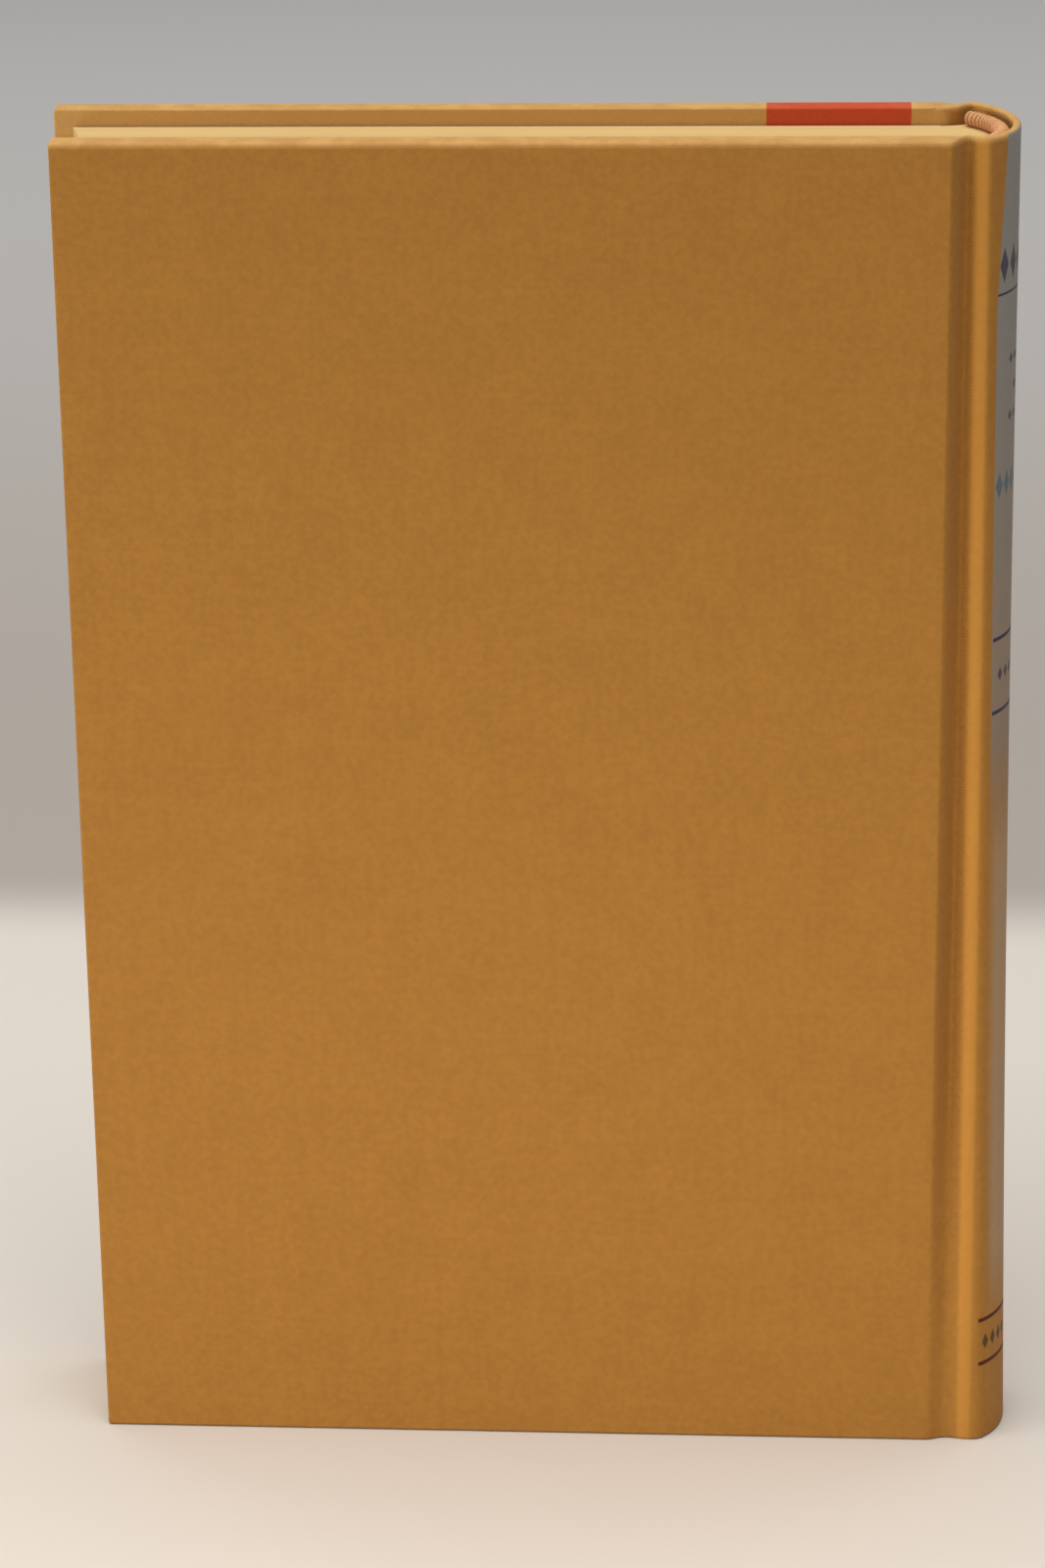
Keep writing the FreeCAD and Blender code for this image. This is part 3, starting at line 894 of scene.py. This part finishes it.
# %% Rules and rows of lozenges
RULE_DARK = srgb(56, 48, 70)
RULE_TEAL = srgb(84, 104, 112)
RULE_MAROON = srgb(84, 30, 12)
RULE_UMBER = srgb(66, 46, 32)
# Each rule has its middle height, half its thickness, its reach to the side, and its ink.
SPINE_RULES = [
    (213.8, 0.2, 11.3, RULE_DARK), (153.0, 0.35, 11.1, RULE_DARK), (139.7, 0.35, 11.1, RULE_DARK),
    (24.0, 0.4, 13.2, RULE_MAROON), (15.3, 0.4, 13.2, RULE_MAROON),
]
# Each row has its middle height, half its height, a lozenge's pitch and half width, its reach, and its ink.
SPINE_ROWS = [
    (218.7, 3.1, 3.2, 1.3, 11.2, RULE_DARK), (202.0, 1.0, 2.2, 0.8, 7.7, RULE_DARK),
    (197.0, 1.0, 2.2, 0.8, 5.5, RULE_DARK), (192.0, 1.0, 2.2, 0.8, 7.7, RULE_DARK),
    (180.4, 2.4, 2.5, 1.1, 11.25, RULE_TEAL), (146.4, 1.3, 2.2, 0.85, 9.9, RULE_DARK),
    (19.5, 1.6, 2.3, 0.9, 12.65, RULE_UMBER),
]


def ornament_row(nodes, around, z, middle, half_high, pitch, half_wide, reach):
    """A row of small lozenges round the back, at one height."""
    beside = nodes.maths("PINGPONG", nodes.maths("ABSOLUTE", around), pitch / 2)
    above = nodes.maths("ABSOLUTE", nodes.maths("SUBTRACT", z, middle))
    across = nodes.maths("DIVIDE", beside, half_wide)
    upwards = nodes.maths("DIVIDE", above, half_high)
    span = nodes.maths("ADD", across, upwards)
    shape = nodes.range(span, 0.85, 1.1, 1.0, 0.0)
    inside = nodes.between(around, -reach, reach, 0.1)
    return nodes.maths("MULTIPLY", shape, inside)


print(len(SPINE_RULES), "rules and", len(SPINE_ROWS), "rows of lozenges")

# %% [markdown]
# ## The panel on the spine
# The upper spine has a grey panel that thins out downwards, thin rules, and rows of small lozenges.
# Below it the round of the back gets a grey painted sheen, and the ridge gets a pale painted highlight.
# The panel is a field of colour with a soft lower end; noise lets the cloth show through a little.
# Heights are in millimetres from the tail, and distances to the side are measured round from the crown.

# %% Printed spine
# A pale painted highlight for the ridge.
RIDGE_HIGHLIGHT = srgb(226, 158, 66)
# A grey painted sheen for the round of the back.
SHEEN_GREY = srgb(177, 173, 157)
PANEL_HEAD = srgb(138, 140, 138)
PANEL_LOW = srgb(146, 128, 110)


def spine_print(nodes, colour):
    """A pale panel on the upper spine with thin rules and rows of lozenges, and a small one near the tail."""
    around = nodes.add("ShaderNodeAttribute", attribute_name="around").outputs["Fac"]
    x, _, z = nodes.axes()
    x, z = nodes.maths("DIVIDE", x, MM), nodes.maths("DIVIDE", z, MM)
    half = nodes.range(z, 212, 240, 11.4, 9.3, "LINEAR")
    beside = nodes.maths("SUBTRACT", half, nodes.maths("ABSOLUTE", around))
    # Painted highlight: a pale band along the ridge, whose side faces the light from the left.
    ridge_x = nodes.range(z, 0, HEIGHT, ridge_at(0) - 0.4, ridge_at(HEIGHT) - 0.6, "LINEAR")
    off_ridge = nodes.maths("ABSOLUTE", nodes.maths("SUBTRACT", x, ridge_x))
    colour = nodes.blend(nodes.range(off_ridge, 0.6, 1.7, 0.38, 0.0), colour, RIDGE_HIGHLIGHT)
    # Painted sheen: a grey haze on the round of the back below the panel, where the cloth turns away at a
    # grazing angle.
    sheen_field = nodes.maths("MULTIPLY", nodes.range(beside, -0.6, 2.8), nodes.between(z, 30, 119, 10))
    colour = nodes.blend(nodes.maths("MULTIPLY", sheen_field, 0.34), colour, SHEEN_GREY)
    panel = nodes.maths("MULTIPLY", nodes.range(beside, -0.12, 0.12), nodes.range(z, 112, 138))
    worn = nodes.range(nodes.noise(nodes.place, 900, 3), 0.25, 0.6, 0.72, 0.96)
    panel_colour = nodes.blend(nodes.range(z, 120, 225), PANEL_LOW, PANEL_HEAD)
    colour = nodes.blend(nodes.maths("MULTIPLY", panel, worn), colour, panel_colour)
    for middle, half_high, reach, ink in SPINE_RULES:
        line = nodes.between(z, middle - half_high, middle + half_high, 0.08)
        line = nodes.maths("MULTIPLY", line, nodes.between(around, -reach, reach, 0.1))
        colour = nodes.blend(line, colour, ink)
    for middle, half_high, pitch, half_wide, reach, ink in SPINE_ROWS:
        row = ornament_row(nodes, around, z, middle, half_high, pitch, half_wide, reach)
        colour = nodes.blend(nodes.maths("MULTIPLY", row, 0.85), colour, ink)
    return colour


spine_cloth = cloth_material("mustard_cloth_spine", spine_print)
for piece in joint_cloths.values():
    piece.data.materials.append(spine_cloth)
print("made", spine_cloth.name)

# %% [markdown]
# ## Boards and papers
# Board, endpaper, cotton and lining paper are all plain and dull. They differ in colour and in the size
# and strength of their specks, so one function makes them all.

# %% Plain papers and boards
def plain_material(name, colour, roughness, speck, scale=400):
    nodes = Nodes(name)
    grain = nodes.noise(nodes.place, scale, 3)
    shade = nodes.blend(nodes.range(grain, 0.3, 0.7, 0.0, speck), colour, (0.0, 0.0, 0.0, 1.0))
    return nodes.done(shade, roughness, nodes.bump(grain, 0.2, 0.0001))


board_grey = plain_material("grey_board", srgb(150, 142, 128), 0.9, 0.2)
endpaper_cream = plain_material("endpaper", srgb(232, 222, 196), 0.85, 0.05, 300)
cotton = plain_material("open_cotton", srgb(222, 214, 196), 0.9, 0.15, 1500)
lining_brown = plain_material("brown_lining", srgb(160, 124, 86), 0.85, 0.1)

for piece in (covers["back"][1], covers["front"][1], spine_card):
    piece.data.materials.append(board_grey)
for piece in paper_hinges:
    piece.data.materials.append(endpaper_cream)
print("plain:", [each.name for each in (board_grey, endpaper_cream, cotton, lining_brown)])

# %% [markdown]
# ## The edges of the pages
# A block of pages shows hundreds of leaf edges, all parallel to the covers. Modelled leaves would need
# very many faces, and the pages are one solid. Noise squeezed hard along Y gives the same fine lines,
# a second, wider noise gathers them in groups, and a third stains the paper unevenly.

# %% Pages
def page_material():
    """Leaf edges: fine lines parallel to the covers."""
    nodes = Nodes("page_edges")
    fine = nodes.noise(nodes.stretched(6, 9000, 6), 1.0, 3, 0.6)
    groups = nodes.noise(nodes.stretched(3, 700, 3), 1.0, 2)
    stain = nodes.noise(nodes.place, 30, 3)
    colour = nodes.blend(nodes.range(fine, 0.35, 0.65, 0.0, 0.30), srgb(224, 190, 128), srgb(190, 152, 92))
    colour = nodes.blend(nodes.range(groups, 0.4, 0.7, 0.0, 0.2), colour, srgb(190, 154, 98))
    colour = nodes.blend(nodes.range(stain, 0.4, 0.8, 0.0, 0.25), colour, srgb(198, 160, 100))
    return nodes.done(colour, 0.85, nodes.bump(fine, 0.35, 0.0002))


pages = page_material()
print("made", pages.name)

# %% [markdown]
# ## The bands' cotton
# Peach cotton with its fine threads as noise. The crest attribute darkens the valleys between the ribs with
# painted shade, where little light gets in.

# %% Ribbed cotton
def band_material():
    nodes = Nodes("ribbed_band")
    threads = nodes.noise(nodes.place, 2500, 2)
    colour = nodes.blend(nodes.range(threads, 0.3, 0.7), srgb(206, 146, 94), srgb(228, 174, 120))
    crest = nodes.add("ShaderNodeAttribute", attribute_name="crest").outputs["Fac"]
    # Painted shade in the valleys between the ribs.
    colour = nodes.blend(nodes.range(crest, 0.1, 0.7, 0.75, 0.0), colour, srgb(140, 84, 48))
    return nodes.done(colour, 0.8, nodes.bump(threads, 0.3, 0.0001), 0.2)


ribbed = band_material()
for piece in bands:
    piece.data.materials.append(ribbed)
print("made", ribbed.name)

# %% [markdown]
# ## Finishes for the CAD parts
# The pages, the endpapers, the cotton and the lining are shown just as CAD made them.
# The CAD nodes that new pieces replace get a finish as well, so that no part is left without one.

# %% Materials of the CAD nodes
node_materials = {
    "text_block": pages, "mull": cotton, "spine_lining": lining_brown,
    "back_flyleaf": endpaper_cream, "front_flyleaf": endpaper_cream,
    "back_pastedown": endpaper_cream, "front_pastedown": endpaper_cream,
    "head_band": ribbed, "tail_band": ribbed, "spine_inlay": board_grey, "spine_cloth": plain_cloth,
    "back_board": board_grey, "front_board": board_grey,
    "back_cover_cloth": plain_cloth, "front_cover_cloth": banded_cloth,
}
for name, material in node_materials.items():
    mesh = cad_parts[name].data
    mesh.materials.clear()
    mesh.materials.append(material)
print(len(node_materials), "CAD nodes have their material")

# %% [markdown]
# ## The floor
# The book needs something to stand on and throw its shadow on. One big square is enough.
# Its far part is greyer, so that the pale edges of the book stand out against it.
# The floor and the lamps are placed in metres.

# %% Floor
bm = bmesh.new()
bmesh.ops.create_grid(bm, x_segments=1, y_segments=1, size=3.0)
floor = finished("floor", bm)
floor_nodes = Nodes("pale_floor")
floor_grain = floor_nodes.noise(floor_nodes.place, 6, 2)
floor_colour = floor_nodes.blend(
    floor_nodes.range(floor_grain, 0.3, 0.7, 0.0, 0.06), srgb(236, 227, 215), srgb(220, 208, 194)
)
away = floor_nodes.axes()[1]
wall_colour = floor_nodes.blend(floor_nodes.range(away, 0.25, 1.0), srgb(186, 176, 166), srgb(226, 223, 219))
floor_colour = floor_nodes.blend(floor_nodes.range(away, 0.205, 0.245), floor_colour, wall_colour)
floor.data.materials.append(floor_nodes.done(floor_colour, 0.9))
print("the floor is", round(floor.dimensions.x, 1), "m wide")

# %% [markdown]
# ## The surround
# A world lights the scene from all sides and is also what the camera sees behind it. Those are two jobs:
# the backdrop has to be a middling grey, and the light has to be weak or the shadows wash out.
# The Light Path node tells them apart: rays from the camera, and rays that come off a shine or through
# glass, see the backdrop, and all others get the weak light.

# %% Surround
world = bpy.data.worlds.new("surround")
bpy.context.scene.world = world
world.use_nodes = True
tree = world.node_tree
tree.nodes.clear()
output = tree.nodes.new("ShaderNodeOutputWorld")
seen = tree.nodes.new("ShaderNodeBackground")
seen.inputs["Color"].default_value = srgb(180, 178, 175)
seen.inputs["Strength"].default_value = 1.0
lighting = tree.nodes.new("ShaderNodeBackground")
lighting.inputs["Color"].default_value = srgb(235, 238, 242)
lighting.inputs["Strength"].default_value = 0.2
path = tree.nodes.new("ShaderNodeLightPath")
reflected = tree.nodes.new("ShaderNodeMath")
reflected.operation = "MAXIMUM"
either = tree.nodes.new("ShaderNodeMath")
either.operation = "MAXIMUM"
both = tree.nodes.new("ShaderNodeMixShader")
tree.links.new(path.outputs["Is Glossy Ray"], reflected.inputs[0])
tree.links.new(path.outputs["Is Transmission Ray"], reflected.inputs[1])
tree.links.new(path.outputs["Is Camera Ray"], either.inputs[0])
tree.links.new(reflected.outputs[0], either.inputs[1])
tree.links.new(either.outputs[0], both.inputs[0])
tree.links.new(lighting.outputs[0], both.inputs[1])
tree.links.new(seen.outputs[0], both.inputs[2])
tree.links.new(both.outputs[0], output.inputs["Surface"])
print(len(tree.nodes), "nodes in the surround")

# %% [markdown]
# ## The lights
# Big lamps make soft shadows. One stands far to the left like a window, and one hangs overhead and lights
# the pages and the floor. A low one in front stands for the light that a pale surface throws back up:
# it is why the cover is brighter towards its tail.

# %% Lights
def area_light(name, place, target, power, wide, high, tint=(1.0, 1.0, 1.0)):
    data = bpy.data.lights.new(name, "AREA")
    data.shape = "RECTANGLE"
    data.size = wide
    data.size_y = high
    data.energy = power
    data.color = tint
    lamp = bpy.data.objects.new(name, data)
    bpy.context.scene.collection.objects.link(lamp)
    lamp.visible_camera = False
    lamp.location = place
    lamp.rotation_euler = (Vector(target) - Vector(place)).to_track_quat("-Z", "Y").to_euler()
    print(name, "shines with", power, "W")


area_light("window", (-1.36, -0.63, 0.4), (0, 0, 0.1), 8.2, 0.8, 0.8)
area_light("ceiling", (0.0, -0.1, 1.5), (0, 0, 0.1), 18, 1.2, 1.2)
area_light("table_bounce", (-0.05, -0.27, 0.06), (-0.05, 0, 0.02), 0.33, 0.5, 0.1, (1.0, 0.98, 0.9))

# %% [markdown]
# ## The camera
# A photo's camera can be found again from straight edges whose sizes are known. This one looks down by
# about 22 degrees through a long lens, and its film is shifted, because the book isn't in the middle
# of the picture. Its place is given from the lower corner of the back cover at the fore-edge.

# %% Camera
camera_data = bpy.data.cameras.new("camera")
camera = bpy.data.objects.new("camera", camera_data)
bpy.context.scene.collection.objects.link(camera)
YAW, PITCH, ROLL = math.radians(-5.28), math.radians(22.44), math.radians(-1.48)
forward = Vector((math.sin(YAW) * math.cos(PITCH), math.cos(YAW) * math.cos(PITCH), -math.sin(PITCH)))
level = Vector((math.cos(YAW), -math.sin(YAW), 0))
upward = level.cross(forward)
rolled_right = level * math.cos(ROLL) + upward * math.sin(ROLL)
rolled_up = upward * math.cos(ROLL) - level * math.sin(ROLL)
turn = Matrix((rolled_right, rolled_up, -forward)).transposed()
camera_place = Vector((126.2 + FORE_EDGE, -835.9 - FACE, 465.2)) * MM
camera.matrix_world = Matrix.Translation(camera_place) @ turn.to_4x4()
camera_data.lens = 120.0
camera_data.sensor_width = 36
camera_data.shift_x = 0.104
camera_data.shift_y = 0.029
camera_data.clip_start = 0.01
camera_data.clip_end = 20
bpy.context.scene.camera = camera
bpy.context.scene.view_settings.view_transform = "Standard"
print("camera at", [round(part, 3) for part in camera_place])
